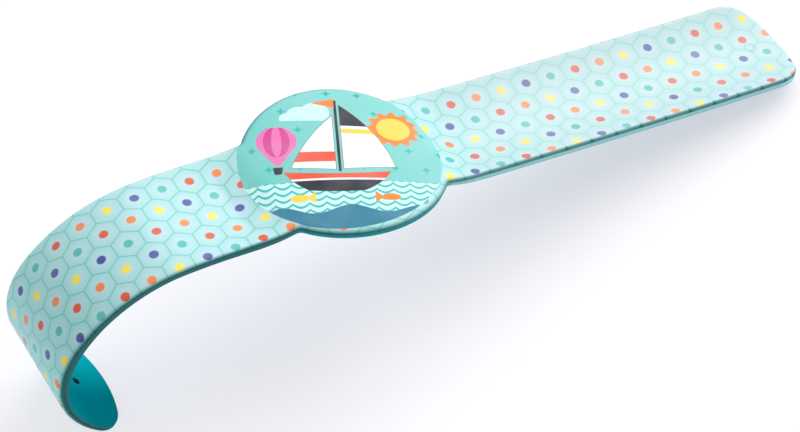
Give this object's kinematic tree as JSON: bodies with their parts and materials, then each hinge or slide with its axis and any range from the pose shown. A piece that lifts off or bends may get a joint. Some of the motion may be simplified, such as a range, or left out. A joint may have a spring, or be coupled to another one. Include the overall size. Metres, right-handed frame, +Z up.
{
  "type": "slap bracelet",
  "caption": "Open slap bracelet: a soft band printed with a honeycomb of dots, a round picture disc in its middle, one half straight and dished, the other curling under.",
  "frame": {"origin": "middle of the underside of the bounding box, on the surface that the bracelet rests on, under the band's centre line", "axes": "+X along the band from the curled end to the straight end, +Y across the band, +Z up, with the printed side facing up"},
  "size_m": [0.1858, 0.0456, 0.0414],
  "materials": {
    "printed_silicone": "satin, light aqua, printed with a honeycomb, dots and a round picture",
    "teal_silicone": "satin, plain teal",
    "spring_steel": "dark, plain"
  },
  "bodies": {
    "root": {"cover": "printed_silicone", "back_layer": "teal_silicone", "spring_strip": "spring_steel"}
  },
  "joints": []
}
